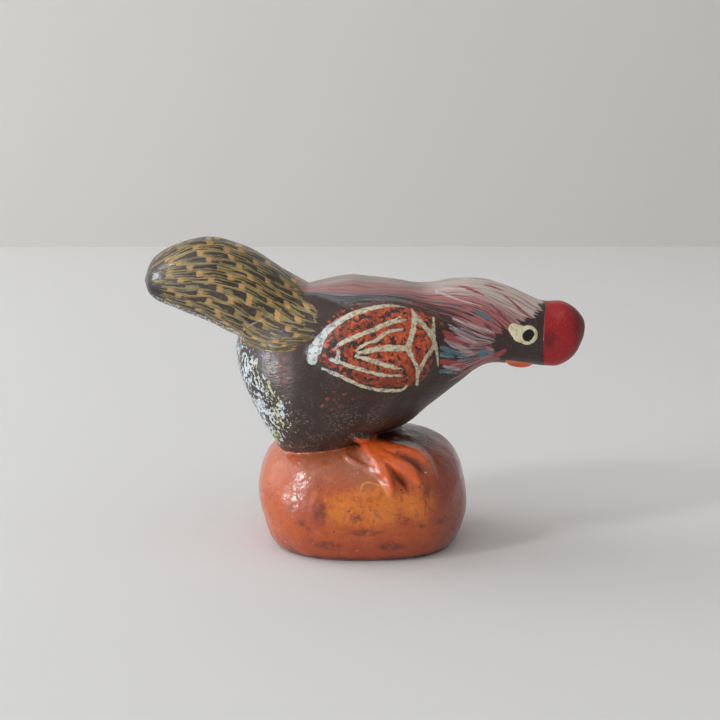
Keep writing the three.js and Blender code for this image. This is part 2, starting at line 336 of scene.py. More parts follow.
def fuse(shapes, voxel):
    """One closed skin round all the shapes, as corners and faces."""
    corners, faces, count = [], [], 0
    for shape in shapes:
        corners.append(shape["corners"])
        faces += [tuple(count + i for i in face) for face in shape["faces"]]
        count += len(shape["corners"])
    mesh = bpy.data.meshes.new("lumps")
    mesh.from_pydata(np.concatenate(corners).tolist(), [], faces)
    lumps = bpy.data.objects.new("lumps", mesh)
    bpy.context.scene.collection.objects.link(lumps)
    remesh = lumps.modifiers.new("fuse", "REMESH")
    remesh.mode = "VOXEL"
    remesh.voxel_size = voxel
    evaluated = lumps.evaluated_get(bpy.context.evaluated_depsgraph_get())
    skin = evaluated.to_mesh()
    points = np.empty(len(skin.vertices) * 3)
    skin.vertices.foreach_get("co", points)
    quads = np.empty(len(skin.loops), int)
    skin.loops.foreach_get("vertex_index", quads)
    evaluated.to_mesh_clear()
    bpy.data.objects.remove(lumps)
    bpy.data.meshes.remove(mesh)
    return points.reshape(-1, 3), quads.reshape(-1, 4)


def edges_of(quads):
    """Every edge once, as a pair of corners."""
    pairs = np.concatenate([quads[:, [k, (k + 1) % 4]] for k in range(4)])
    return np.unique(np.sort(pairs, axis=1), axis=0)


def averaged(values, edges, count):
    """Each corner's average over its neighbours, for one value or several at each corner."""
    values = values.reshape(count, -1)
    ends = np.concatenate([edges, edges[:, ::-1]])
    share = np.bincount(ends[:, 0], minlength=count)
    total = [np.bincount(ends[:, 0], values[ends[:, 1], k], count) for k in range(values.shape[1])]
    return (np.column_stack(total) / share[:, None]).squeeze()


def normals_of(points, quads):
    """Each corner's normal, the average of its faces' weighted by their area."""
    diagonal1 = points[quads[:, 2]] - points[quads[:, 0]]
    diagonal2 = points[quads[:, 3]] - points[quads[:, 1]]
    face = np.cross(diagonal1, diagonal2)
    total = np.zeros_like(points)
    for k in range(4):
        for axis in range(3):
            total[:, axis] += np.bincount(quads[:, k], face[:, axis], len(points))
    return total / np.maximum(np.linalg.norm(total, axis=1), 1e-12)[:, None]


def smoothed(points, edges, rounds, share=1.0):
    """Smoothed without shrinking: each round pulls in, then pushes nearly as far back out."""
    for _ in range(rounds):
        for pull in (0.5, -0.52):
            step = averaged(points, edges, len(points)) - points
            points = points + pull * step * share
    return points


def eased(value, low, high):
    """0 at low, 1 at high, and a smooth step between."""
    t = np.clip((value - low) / (high - low), 0, 1)
    return t * t * (3 - 2 * t)


# ---- Places on the skin ----


def stroke_gap(places, strokes):
    """How far each (first, second) place is outside the nearest stroke; negative inside one."""
    best = np.full(len(places), 1e3)
    for stroke in strokes:
        line = smooth_line(stroke, np.linspace(0, 1, 8 * len(stroke)))
        for start, end in zip(line[:-1], line[1:]):
            run = end[:2] - start[:2]
            t = np.clip((places - start[:2]) @ run / max(run @ run, 1e-9), 0, 1)
            near = start[:2] + t[:, None] * run
            width = start[2] + t * (end[2] - start[2])
            best = np.minimum(best, np.linalg.norm(places - near, axis=1) - width)
    return best


def outline_gap(places, outline):
    """How far each place is outside a smooth closed outline; negative inside."""
    closed = [*outline[-2:], *outline, *outline[:3]]
    steps = np.linspace(2, 2 + len(outline), 12 * len(outline) + 1) / (len(closed) - 1)
    line = smooth_line(closed, steps)
    runs = [[(*p, 0) for p in line[k : k + 7]] for k in range(0, len(line) - 1, 6)]
    distance = stroke_gap(places, runs)
    inside = np.zeros(len(places), bool)
    for (x0, z0), (x1, z1) in zip(line[:-1], line[1:]):
        crosses = (places[:, 1] < z0) != (places[:, 1] < z1)
        at = x0 + (places[:, 1] - z0) / (z1 - z0 if z1 != z0 else 1) * (x1 - x0)
        inside ^= crosses & (places[:, 0] < at)
    return np.where(inside, -distance, distance)


class Chart:
    """A meshed sheet with values at its corners, which reads them off nearest to any place."""

    def __init__(self, corners, values, triangles):
        self.corners = [Vector(c) for c in corners]
        self.values = [Vector(v) for v in values]
        self.triangles = triangles
        self.tree = BVHTree.FromPolygons(self.corners, triangles, all_triangles=True)

    def read(self, places):
        """The sheet's three values and the distance from it, for each place."""
        found = []
        for place in places:
            near, _, index, distance = self.tree.find_nearest(Vector(place))
            a, b, c = self.triangles[index]
            value = barycentric_transform(
                near,
                self.corners[a],
                self.corners[b],
                self.corners[c],
                self.values[a],
                self.values[b],
                self.values[c],
            )
            found.append((*value, distance))
        return np.array(found)


def split_quads(faces):
    """The faces cut into triangles."""
    triangles = []
    for face in faces:
        for k in range(1, len(face) - 1):
            triangles.append((face[0], face[k], face[k + 1]))
    return triangles


def lump_chart(shape):
    """Reads how far along a lump (0 to 1) and how many degrees round it a place is."""
    turn = np.degrees(shape["turn"])
    values = np.column_stack([shape["along"], turn, np.zeros(len(turn))])
    half = [t for t in split_quads(shape["faces"]) if max(turn[i] for i in t) < 180.001]
    return Chart(shape["corners"], values, half)


def brush_chart(lines, steps=60, lanes=40):
    """Reads how far along brush lines (mm) and across them (0 to 1) a flat place is."""
    t = np.linspace(0, 1, steps + 1)
    runs = np.array([smooth_line(line, t) for line in lines])
    across = np.linspace(0, 1, lanes + 1)
    grid = np.array([smooth_line(runs[:, k], across) for k in range(steps + 1)])
    length = np.linalg.norm(np.diff(grid, axis=0), axis=2).cumsum(axis=0)
    length = np.concatenate([np.zeros((1, lanes + 1)), length])
    corners = np.column_stack([grid.reshape(-1, 2), np.zeros(grid.size // 2)])
    values = np.column_stack([length.ravel(), np.tile(across, steps + 1), np.zeros(length.size)])
    width = lanes + 1
    faces = []
    for s in range(steps):
        for a in range(lanes):
            first = s * width + a
            faces.append((first, first + 1, first + 1 + width, first + width))
    return Chart(corners, values, split_quads(faces))


def on_wing_plane(points):
    """(x, up) on the plane that the wing lies on, for both sides alike."""
    out = -np.abs(points[:, 1])
    up = (points[:, 2] - WING_SEAT_Z) * math.cos(WING_LEAN)
    return np.column_stack([points[:, 0], up + (out - WING_SEAT_Y) * math.sin(WING_LEAN)])


# ---- The fused skin ----

bird = lump(BIRD, 160, 120, BIRD_FULLNESS)
tail = lump(TAIL, 90, 80, BIRD_FULLNESS)
rock = lump(ROCK, 90, 120, ROCK_FULLNESS)
beak = lump(BEAK, 30, 30, 2)
points, quads = fuse([bird, tail, rock, beak], VOXEL)
edges = edges_of(quads)
count = len(points)
points = smoothed(points, edges, 10)

normals = normals_of(points, quads)
side_view = points[:, [0, 2]]
wing_places = on_wing_plane(points)
on_flank = np.abs(normals[:, 1]) > 0.2
wing_gap = np.where(on_flank, outline_gap(wing_places, WING_OUTLINE), ELSEWHERE)
on_cheek = (np.abs(points[:, 1]) > 2.5) & (points[:, 0] > 15)
far = points[:, 1] > 0
foot_view = side_view + np.column_stack([np.zeros(count), FAR_FOOT_DROP * far])
on_rock_flank = (points[:, 2] < 17.2) & (np.abs(points[:, 1]) > 4)


def marked(region, strokes, places=side_view):
    """How far outside the strokes each corner is, kept to one region of the skin."""
    return np.where(region, stroke_gap(places, strokes), ELSEWHERE)


cream_gap = marked(on_flank, WING_STROKES, wing_places)
eye_gap = marked(on_cheek, EYE_STROKES)
pupil_gap = marked(on_cheek, PUPIL_STROKES)
foot_gap = marked(on_rock_flank, FOOT_STROKES, foot_view)
groove_gap = marked(on_rock_flank, TOE_GROOVES, foot_view)
ridge_gap = marked(on_rock_flank, GLAZE_RIDGE, foot_view)
line_gap = marked(on_rock_flank, GLAZE_LINE, foot_view)
from_ankle = np.linalg.norm(foot_view - ANKLE, axis=1)
thigh_gap = marked(on_flank, THIGH)
dot_gap = marked(on_flank, RED_DOTS)

unevenness = np.array(
    [noise.noise(Vector(p) * 0.16) * 0.16 + noise.noise(Vector(p) * 0.55) * 0.05 for p in points]
)
height = WING_RELIEF * eased(-wing_gap, -0.5, 2.2)
height += EYE_RELIEF * eased(-eye_gap, -0.1, 0.35)
toes = FOOT_RELIEF * eased(-foot_gap, -0.55, 0.6) * (1 - TOE_THINNING * eased(from_ankle, 3.5, 8.5))
height += toes * np.where(far, FAR_FOOT_SHARE, 1.0)
height -= GROOVE_DEPTH * eased(-groove_gap, -0.3, 0.2)
height += RIDGE_RELIEF * eased(-ridge_gap, -0.4, 0.05)
height += THIGH_RELIEF * eased(-thigh_gap, -1.4, 0.5)
height += unevenness * eased(points[:, 2], 0, 1.5)
points = points + normals * height[:, None]
points = smoothed(points, edges, 2)
points[:, 2] = np.maximum(points[:, 2], 0)
normals = normals_of(points, quads)
side_view = points[:, [0, 2]]

# ---- Where the paint goes ----


def mirrored(places):
    """The same places brought to the side where y is positive."""
    return np.column_stack([places[:, 0], np.abs(places[:, 1]), places[:, 2]])


def flat(first, second):
    """Places on a flat sheet."""
    return np.column_stack([first, second, np.zeros(len(first))])


round_body = lump_chart(bird).read(mirrored(points))[:, 1]

tail_run = brush_chart(TAIL_LINES).read(flat(*side_view.T))
tail_round = np.arccos(np.clip(1 - 2 * tail_run[:, 1], -1, 1)) / math.pi
tail_flow = np.column_stack([tail_run[:, 0], tail_round, tail_run[:, 3]])

hackle_lines = [[(x, degrees / DEGREES_PER_MM) for x, degrees in line] for line in HACKLE_LINES]
hackle_run = brush_chart(hackle_lines).read(flat(points[:, 0], round_body / DEGREES_PER_MM))
hackle_flow = hackle_run[:, [0, 1, 3]]

rump_x, rump_z = smooth_line(RUMP_LINE, np.linspace(0, 1, 60)).T
behind_rump_line = np.interp(side_view[:, 1], rump_z[::-1], rump_x[::-1]) - side_view[:, 0]

BAR_STROKES = (ROSE_STROKES, MAUVE_STROKES, TEAL_STROKES)
FIELDS = {  # three numbers for each corner, which the materials read by these names
    "tail_flow": tail_flow,
    "hackle_flow": hackle_flow,
    "wing": np.column_stack([wing_gap, cream_gap, dot_gap]),
    "face": np.column_stack([eye_gap, pupil_gap, marked(on_flank, WHITE_STROKES)]),
    "body": np.column_stack([behind_rump_line, foot_gap, groove_gap]),
    "bars": np.column_stack([marked(side_view[:, 0] > 8, strokes) for strokes in BAR_STROKES]),
    "lines": np.column_stack([marked(True, RED_STROKES), line_gap, np.zeros(count)]),
}

# ---- Division into the frame's pieces ----

SLOTS = {item["node"]: item["material_slot"] for item in frame["record"]["subparts"]}
NAMES = sorted(SLOTS)


def nearest_nodes(places):
    """For each place, in mm, the index in NAMES of the CAD node whose surface is nearest."""
    corners, faces, owner = [], [], []
    for index, name in enumerate(NAMES):
        mesh = frame["nodes"][name].data
        start = len(corners)
        corners += [vertex.co / MM for vertex in mesh.vertices]
        for polygon in mesh.polygons:
            faces.append([start + i for i in polygon.vertices])
            owner.append(index)
    tree = BVHTree.FromPolygons(corners, faces)
    return np.array([owner[tree.find_nearest(Vector(place))[2]] for place in places])


def neighbours(faces):
    """Pairs of faces that share an edge."""
    pairs = np.sort(np.concatenate([faces[:, [k, (k + 1) % 4]] for k in range(4)]), axis=1)
    face = np.tile(np.arange(len(faces)), 4)
    order = np.lexsort((pairs[:, 1], pairs[:, 0]))
    pairs, face = pairs[order], face[order]
    same = np.all(pairs[1:] == pairs[:-1], axis=1)
    return np.column_stack([face[:-1][same], face[1:][same]])


def islands(labels, pairs):
    """For each face, one face that stands for all those joined to it with its own label."""
    own = pairs[labels[pairs[:, 0]] == labels[pairs[:, 1]]]
    root = np.arange(len(labels))
    while True:
        low = np.minimum(root[own[:, 0]], root[own[:, 1]])
        before = root.copy()
        np.minimum.at(root, own[:, 0], low)
        np.minimum.at(root, own[:, 1], low)
        root = root[root]
        if np.array_equal(root, before):
            return root


def without_strays(labels, pairs):
    """Labels with every patch but each label's largest given to what surrounds it."""
    root = islands(labels, pairs)
    size = np.bincount(root, minlength=len(labels))
    stray = np.zeros(len(labels), bool)
    for label in np.unique(labels):
        own = np.flatnonzero(labels == label)
        main = root[own[np.argmax(size[root[own]])]]
        stray[own] = root[own] != main
    labels = labels.copy()
    while stray.any():
        for a, b in (pairs.T, pairs[:, ::-1].T):
            meets = stray[a] & ~stray[b]
            labels[a[meets]] = labels[b[meets]]
            stray[a[meets]] = False
    return labels


def at_faces(values):
    """Values at the corners, averaged for each face."""
    return values[quads].mean(axis=1)


owners = nearest_nodes(at_faces(points))
far_side = at_faces(points)[:, 1] > 0
for gap, part in ((wing_gap, "wing"), (eye_gap, "eye")):
    inside = at_faces(gap) < 0
    owners[inside & ~far_side] = NAMES.index(f"{part}_right")
    owners[inside & far_side] = NAMES.index(f"{part}_left")
owners = without_strays(owners, neighbours(quads))


def rims(faces):
    """The open rims of a patch, each as its corners in order."""
    following = {}
    for k in range(4):
        for start, end in faces[:, [k, (k + 1) % 4]].tolist():
            following.setdefault(start, []).append(end)
    one_way = {}
    for start, ends in following.items():
        for end in ends:
            if start not in following.get(end, ()):
                one_way.setdefault(start, []).append(end)
    loops = []
    while one_way:
        start = min(one_way)
        loop = [start]
        while True:
            ends = one_way[loop[-1]]
            step = ends.pop()
            if not ends:
                del one_way[loop[-1]]
            if step == start:
                break
            loop.append(step)
        loops.append(loop)
    return loops


def make_piece(name, own_quads, material):
    """One named piece: its patch of the skin, each open rim turned in and closed below it."""
    used, local = np.unique(own_quads, return_inverse=True)
    own_points = points[used]
    own_normals = normals[used]
    patch = local.reshape(-1, 4)
    faces = patch.tolist()
    for loop in rims(patch):
        inward = -SEAM_DEPTH * own_normals[loop]
        ring = len(own_points) + np.arange(len(loop))
        hub = len(own_points) + len(loop)
        sunk = own_points[loop] + inward
        middle = sunk.mean(axis=0) + inward.mean(axis=0)
        own_points = np.vstack([own_points, sunk, middle])
        own_normals = np.vstack([own_normals, own_normals[loop], [0, 0, 1]])
        for k, near in enumerate(loop):
            after = (k + 1) % len(loop)
            faces.append((loop[after], near, int(ring[k]), int(ring[after])))
            faces.append((int(ring[after]), int(ring[k]), hub))
    mesh = bpy.data.meshes.new(f"clay_{name}")
    mesh.from_pydata((own_points * MM).tolist(), [], faces)
    mesh.polygons.foreach_set("use_smooth", [True] * len(mesh.polygons))
    for field, values in FIELDS.items():
        data = np.zeros((len(own_points), 3))
        data[: len(used)] = values[used]
        attribute = mesh.attributes.new(field, "FLOAT_VECTOR", "POINT")
        attribute.data.foreach_set("vector", data.ravel())
    mesh.normals_split_custom_set_from_vertices(own_normals.tolist())
    mesh.materials.append(material)
    piece = bpy.data.objects.new(f"clay_{name}", mesh)
    bpy.context.scene.collection.objects.link(piece)
    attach(piece, BODY)
    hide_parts(name)
    return piece


# ---- Paint ----


VEIL = 0.012  # the pale light that the varnish itself sends back, in linear numbers


def linear(red, green, blue):
    """A colour given as 0 to 255 on a screen, as the linear numbers that the nodes take."""
    parts = (c / 255 for c in (red, green, blue))
    return tuple(c / 12.92 if c < 0.04045 else ((c + 0.055) / 1.055) ** 2.4 for c in parts)


def srgb(red, green, blue):
    """The paint that looks like this colour, 0 to 255, once it lies under varnish."""
    return tuple(max(c - VEIL, 0.003) for c in linear(red, green, blue))


DARK_BROWN = srgb(68, 53, 48)
WARM_BROWN = srgb(104, 62, 48)
FACE_BROWN = srgb(62, 52, 49)
OLIVE = srgb(154, 130, 72)
OLIVE_SHADE = srgb(118, 94, 54)
OLIVE_LIGHT = srgb(178, 152, 92)
GREY_GREEN = srgb(132, 126, 90)
OCHRE = srgb(198, 152, 92)
CREAM = srgb(222, 212, 182)
PALE_BLUE = srgb(208, 219, 224)
PALE_YELLOW = srgb(206, 206, 158)
RUST = srgb(196, 82, 50)
RUST_LIGHT = srgb(222, 112, 72)
MAUVE = srgb(212, 192, 182)
ROSE = srgb(178, 80, 80)
RED_LINE = srgb(156, 54, 54)
TEAL = srgb(84, 122, 130)
BLUE = srgb(84, 142, 172)
BLACK = srgb(14, 13, 14)
COMB_RED = srgb(168, 38, 44)
COMB_DEEP = srgb(96, 26, 30)
ORANGE = srgb(240, 104, 44)
GLAZE = srgb(190, 88, 44)
# Painted light: the glaze made lighter on the left side, where the window light falls.
PAINTED_LIGHT_GLAZE = srgb(194, 90, 38)
GLAZE_AMBER = srgb(228, 126, 44)
GLAZE_BROWN = srgb(176, 98, 68)
GLAZE_RED = srgb(172, 76, 46)
GLAZE_DARK = srgb(92, 42, 34)
# Painted shade: the dark red-brown under the breast, on the body and on the rock below it.
PAINTED_SHADE_UNDER_BREAST = srgb(84, 40, 30)
YELLOW = srgb(232, 160, 62)
RAW_CLAY = srgb(186, 112, 80)


class Wire:
    """A number on its way through a material's nodes; arithmetic on it adds Math nodes."""

    def __init__(self, coat, socket):
        self.coat = coat
        self.socket = socket

    def math(self, operation, *others):
        return self.coat.node("ShaderNodeMath", "Value", (self, *others), operation=operation)

    def __add__(self, other):
        return self.math("ADD", other)

    def __sub__(self, other):
        return self.math("SUBTRACT", other)

    def __mul__(self, other):
        return self.math("MULTIPLY", other)

    def floor(self):
        return self.math("FLOOR")

    def fraction(self):
        return self.math("FRACT")

    def absolute(self):
        return self.math("ABSOLUTE")

    def least(self, other):
        return self.math("MINIMUM", other)

    def most(self, other):
        return self.math("MAXIMUM", other)

    def between(self, low, high):
        """0 at low, 1 at high, with a smooth step; low may be the larger."""
        values = (self, low, high, 0.0, 1.0)
        kind = {"interpolation_type": "SMOOTHSTEP"}
        return self.coat.node("ShaderNodeMapRange", "Result", values, **kind)


class Coat:
    """Paint on clay: layers of colour laid in turn, and the relief in mm that they leave."""

    def __init__(self, name):
        self.material = bpy.data.materials.new(name)
        self.material.use_nodes = True
        self.tree = self.material.node_tree
        self.colour = DARK_BROWN
        self.relief = None
        self.place = self.scaled(self.node("ShaderNodeTexCoord", "Object"), (1 / MM,) * 3)

    def node(self, kind, output, values=(), **settings):
        """Adds a node, sets it up, feeds its first inputs and returns the named output."""
        made = self.tree.nodes.new(kind)
        for key, value in settings.items():
            setattr(made, key, value)
        for socket, value in zip(made.inputs, values):
            self.feed(value, socket)
        return Wire(self, made.outputs[output])

    def feed(self, value, socket):
        if isinstance(value, Wire):
            self.tree.links.new(value.socket, socket)
        elif value is not None:
            socket.default_value = (*value, 1) if socket.type == "RGBA" else value

    def scaled(self, vector, by):
        return self.node("ShaderNodeVectorMath", "Vector", (vector, by), operation="MULTIPLY")

    def field(self, name):
        """The three numbers painted at the corners under this name."""
        vector = self.node("ShaderNodeAttribute", "Vector", attribute_name=name)
        return self.parts(vector)

    def parts(self, vector):
        split = self.tree.nodes.new("ShaderNodeSeparateXYZ")
        self.feed(vector, split.inputs[0])
        return [Wire(self, socket) for socket in split.outputs]

    def vector(self, x, y, z):
        return self.node("ShaderNodeCombineXYZ", "Vector", (x, y, z))

    def noise(self, vector, per_mm, detail=2.0, roughness=0.5):
        values = (vector, None, per_mm, detail, roughness)
        return self.node("ShaderNodeTexNoise", "Fac", values)

    def chance(self, vector):
        """A random number from 0 to 1 for each different vector."""
        return self.node("ShaderNodeTexWhiteNoise", "Value", (vector,))

    def blend(self, below, above, amount):
        made = self.tree.nodes.new("ShaderNodeMix")
        made.data_type = "RGBA"
        self.feed(amount, made.inputs["Factor"])
        self.feed(below, made.inputs[6])
        self.feed(above, made.inputs[7])
        return Wire(self, made.outputs[2])

    def ramp(self, value, stops):
        """A colour read from (position, colour) stops."""
        made = self.tree.nodes.new("ShaderNodeValToRGB")
        elements = made.color_ramp.elements
        while len(elements) < len(stops):
            elements.new(0.5)
        for element, (position, colour) in zip(elements, stops):
            element.position = position
            element.color = (*colour, 1)
        self.feed(value, made.inputs[0])
        return Wire(self, made.outputs[0])

    def lay(self, colour, cover, thickness=0.0):
        self.colour = self.blend(self.colour, colour, cover)
        if thickness:
            added = cover * thickness
            self.relief = added if self.relief is None else self.relief + added

    def raise_by(self, height):
        self.relief = height if self.relief is None else self.relief + height

    def varnish(self, roughness, gloss, gloss_roughness):
        """Finishes the material: the layers' colour and relief under a coat of varnish."""
        shader = self.tree.nodes["Principled BSDF"]
        self.feed(self.colour, shader.inputs["Base Color"])
        self.feed(roughness, shader.inputs["Roughness"])
        shader.inputs["Specular IOR Level"].default_value = 0.3
        shader.inputs["Coat Weight"].default_value = gloss
        shader.inputs["Coat Roughness"].default_value = gloss_roughness
        bump = self.tree.nodes.new("ShaderNodeBump")
        bump.inputs["Distance"].default_value = MM
        self.feed(self.relief, bump.inputs["Height"])
        self.tree.links.new(bump.outputs[0], shader.inputs["Normal"])
        self.tree.links.new(bump.outputs[0], shader.inputs["Coat Normal"])
        return self.material


def ground(coat, colour, shade):
    """The ground coat, brushed on unevenly over the clay."""
    coat.colour = colour
    patches = coat.noise(coat.place, 0.35, 3.0, 0.6).between(0.35, 0.7)
    coat.lay(shade, patches * 0.7)
    brushed = coat.noise(coat.scaled(coat.place, (0.6, 1.0, 2.2)), 1.6, 3.0, 0.6)
    coat.raise_by(brushed * 0.05)
    coat.raise_by(coat.noise(coat.place, 6.0, 2.0) * 0.012)


def spread(coat, centre, radii):
    """1 at a centre in the side view, fading to 0 at the radii."""
    x, _, z = coat.parts(coat.place)
    across = (x - centre[0]) * (1 / radii[0])
    upward = (z - centre[1]) * (1 / radii[1])
    return (across * across + upward * upward).between(1.0, 0.1)


def belly_wash(coat):
    """A thin red-brown wash low on the body, one patch behind the wing, and painted shade under the
    breast.
    """
    x, _, z = coat.parts(coat.place)
    mottle = coat.noise(coat.scaled(coat.place, (0.5, 0.5, 1.6)), 0.9, 3.0)
    low = z.between(19.5, 16.0) * x.between(-6.5, -3.0) * mottle.between(0.35, 0.65)
    coat.lay(WARM_BROWN, low * 0.8)
    brushed = coat.noise(coat.scaled(coat.place, (1.5, 1.0, 3.0)), 0.8, 3.0)
    patch = spread(coat, (-11.2, 26.2), (2.6, 2.9)) * brushed.between(0.46, 0.60)
    coat.lay(srgb(132, 62, 46), patch * 0.6)
    # Painted shade where the breast meets the rock above the leg.
    coat.lay(PAINTED_SHADE_UNDER_BREAST, (z + (mottle - 0.5) * 0.8).between(17.3, 16.6) * x.between(0.3, 1.4))


def slivers(coat, along, across, side, rows, per_mm, thinnest, thickest, ragged):
    """Dark slivers left bare along the rows, blunt at the root end and pointed at the tip end:
    their cover, how far along its cell a place is (0 to 1) and a number for each cell."""
    lane = across * rows + ragged * 0.4
    row = lane.floor() + side * 70.0
    start = row * 0.31 + coat.chance(coat.vector(row, 7.0, rows)) * 0.25
    cell = along * per_mm + start + ragged * 0.12
    beat = cell.fraction()
    luck = coat.chance(coat.vector(row, cell.floor(), rows))
    left = (beat.math("DIVIDE", luck * 0.4 + 0.5) * -1.0 + 1.0).most(0.0)
    wedge = left.math("POWER", 0.55) * beat.between(0.0, 0.03)
    girth = coat.chance(coat.vector(row, cell.floor(), rows + 3.0)) * (thickest - thinnest) + thinnest
    across_row = (lane.fraction() - 0.5).absolute() + ragged * 0.24
    cover = (wedge * girth - across_row).between(-0.02, 0.04) * wedge.between(0.02, 0.2)
    return cover, beat, coat.chance(coat.vector(row, cell.floor(), rows + 5.0))


def tail_strokes(coat):
    """Rows of olive strokes with dark slivers between them, and ochre dabs across the rows."""
    along, across, gap = coat.field("tail_flow")
    x, y, _ = coat.parts(coat.place)
    side = y.between(-0.01, 0.01)
    bend = coat.noise(coat.vector(along * 0.14, across * 5.0, 3.1), 1.0, 2.0) * 0.10
    lane = across + bend
    hair = coat.noise(coat.vector(along * 0.3, across * 110.0, 0.0), 1.0, 2.0)
    ragged = coat.noise(coat.vector(along * 1.3, across * 60.0, side * 9.0 + 5.0), 1.0, 3.0, 0.6) - 0.5
    luck = coat.chance(coat.vector((lane * 22.0).floor(), 1.0, 2.0))
    root_end = (along - luck * 2.2 + ragged * 2.6).between(0.0, 0.3)
    tip_end = (x + 26.7 + luck * 2.2 + ragged * 2.6).between(-0.2, 0.3)
    shown = root_end * tip_end * gap.between(0.35, 0.05)

    broad = coat.noise(coat.place, 0.22, 1.0) - 0.5
    # The dark slivers grow thicker on the lower rows: partly the tail's pattern, partly painted shade on
    # its underside.
    thickest = across.between(0.50, 0.72) * 0.1 + 0.42
    thick, beat, tone = slivers(coat, along, lane, side, 19.0, 0.24, 0.16, thickest, ragged)
    thin, _, thin_tone = slivers(coat, along, lane, side, 43.0, 0.19, 0.18, 0.52, ragged)
    olive = coat.ramp(
        thin_tone * 0.42 + hair * 0.7 + broad * 0.7 - 0.05,
        [(0.12, OLIVE_SHADE), (0.34, OLIVE), (0.52, GREY_GREEN), (0.66, OLIVE), (0.84, OLIVE_LIGHT)],
    )
    painted = (thick * -0.96 + 1.0) * (thin * -0.92 + 1.0)
    bristle = hair.between(0.36, 0.50) * 0.5 + 0.5
    coat.lay(olive, painted * shown * bristle, 0.05)

    dab = (beat + ragged * 0.14).between(0.76, 0.84) * (beat + ragged * 0.1).between(1.02, 0.95)
    height = ((lane * 19.0 + ragged * 0.4).fraction() - 0.5).absolute() + ragged * 0.5
    dab = dab * height.between(0.56, 0.30) * tone.between(0.16, 0.26)
    faded = hair.between(0.25, 0.5) * 0.3 + tone * 0.35 + 0.35
    coat.lay(OCHRE, dab * shown * faded, 0.05)


def bristle_marks(coat, along, lane):
    """Noise drawn out along the hackle: broad streaks, fine ones and single hairs."""
    streak = coat.noise(coat.vector(along * 0.16, lane * 26.0, 0.0), 1.0, 3.0, 0.6)
    fine = coat.noise(coat.vector(along * 0.14, lane * 70.0, 7.0), 1.0, 2.0, 0.6)
    hair = coat.noise(coat.vector(along * 0.2, lane * 150.0, 2.0), 1.0, 2.0, 0.6)
    return streak, fine, hair


def hackle_strokes(coat):
    """Long strokes down the back and neck: mauve and pink with thin red, teal and pale lines."""
    along, across, gap = coat.field("hackle_flow")
    wobble = coat.noise(coat.vector(along * 0.10, across * 3.0, 1.3), 1.0, 1.0) * 0.10
    lane = across + wobble - 0.05
    strand = (lane * 34.0).floor()
    luck = coat.chance(coat.vector(strand, 3.0, 0.0))
    streak, fine, hair = bristle_marks(coat, along, lane)
    ragged = (streak - 0.5) * 5.0 + (fine - 0.5) * 3.0 + luck * 1.4

    on_back = along.between(14.0, 18.0)
    neck_colour = coat.ramp(
        lane + (streak - 0.5) * 0.24,
        [
            (0.0, MAUVE),
            (0.22, srgb(214, 194, 186)),
            (0.30, srgb(194, 146, 142)),
            (0.36, srgb(178, 112, 110)),
            (0.50, srgb(170, 102, 104)),
            (0.57, srgb(178, 158, 158)),
            (0.66, srgb(180, 126, 128)),
            (0.74, srgb(172, 152, 154)),
            (0.90, srgb(174, 116, 118)),
        ],
    )
    back_colour = coat.ramp(
        lane + (streak - 0.5) * 0.15,
        [
            (0.0, srgb(172, 156, 150)),
            (0.17, srgb(182, 160, 154)),
            (0.24, srgb(178, 130, 124)),
            (0.36, srgb(178, 126, 122)),
            (0.42, srgb(146, 130, 134)),
            (0.47, srgb(98, 98, 100)),
        ],
    )
    paint = coat.blend(neck_colour, back_colour, on_back)
    paint = coat.blend(paint, srgb(214, 198, 190), streak.between(0.45, 0.8) * luck * 0.55)
    shadowed = fine.between(0.48, 0.30) * across.between(0.2, 0.4)
    paint = coat.blend(paint, srgb(132, 82, 82), shadowed * 0.5)

    front = (along - ragged.most(0.0) * 0.55).between(0.0, 0.25)
    lower = across.between(0.50, 0.56)
    rear_lower = (along * -1.0 + 6.4 + ragged * 1.1).between(0.0, 0.8)
    rear = (lower * -1.0 + 1.0) + lower * rear_lower
    side = across.between(0.985, 0.93)
    sheet = gap.between(0.5, 0.1)
    shown = front * rear.least(1.0) * side * sheet

    patch = across.between(0.36, 0.50) * along.between(6.0, 9.5) * along.between(19.0, 14.0)
    kept = on_back * (across.between(0.38, 0.46) * -0.6 + 0.75)
    gaps = fine.between(0.38, 0.47).most(kept).most(across.between(0.42, 0.3) * 0.75)
    lower_gaps = streak.between(0.34, 0.46)
    cover = shown * gaps * ((lower * -1.0 + 1.0) + lower * lower_gaps).least(1.0)
    cover = cover * (patch * fine.between(0.66, 0.52) * -0.92 + 1.0)
    coat.lay(paint, cover * (hair.between(0.3, 0.5) * 0.25 + 0.75), 0.06)

    thin = coat.noise(coat.vector(along * 0.13, lane * 44.0, 21.0), 1.0, 1.0)
    red = thin.between(0.655, 0.70) * shown * (on_back * -0.5 + 1.0)
    coat.lay(RED_LINE, red * 0.8, 0.02)
    thin_teal = coat.noise(coat.vector(along * 0.12, lane * 40.0, 47.0), 1.0, 1.0)
    coat.lay(TEAL, thin_teal.between(0.66, 0.70) * shown * 0.7, 0.02)
    thin_dark = coat.noise(coat.vector(along * 0.18, lane * 50.0, 63.0), 1.0, 1.0)
    sparse = (on_back * -0.5 + 1.0) * (across.between(0.25, 0.42) * 0.6 + 0.4)
    coat.lay(DARK_BROWN, thin_dark.between(0.63, 0.68) * shown * sparse * 0.8)
    for place, width, colour in ((0.478, 0.016, TEAL), (0.44, 0.010, DARK_BROWN), (0.40, 0.012, TEAL)):
        line = (lane - place).absolute().between(width, width * 0.3) * on_back * sheet
        coat.lay(colour, line * fine.between(0.3, 0.45) * 0.8, 0.03)


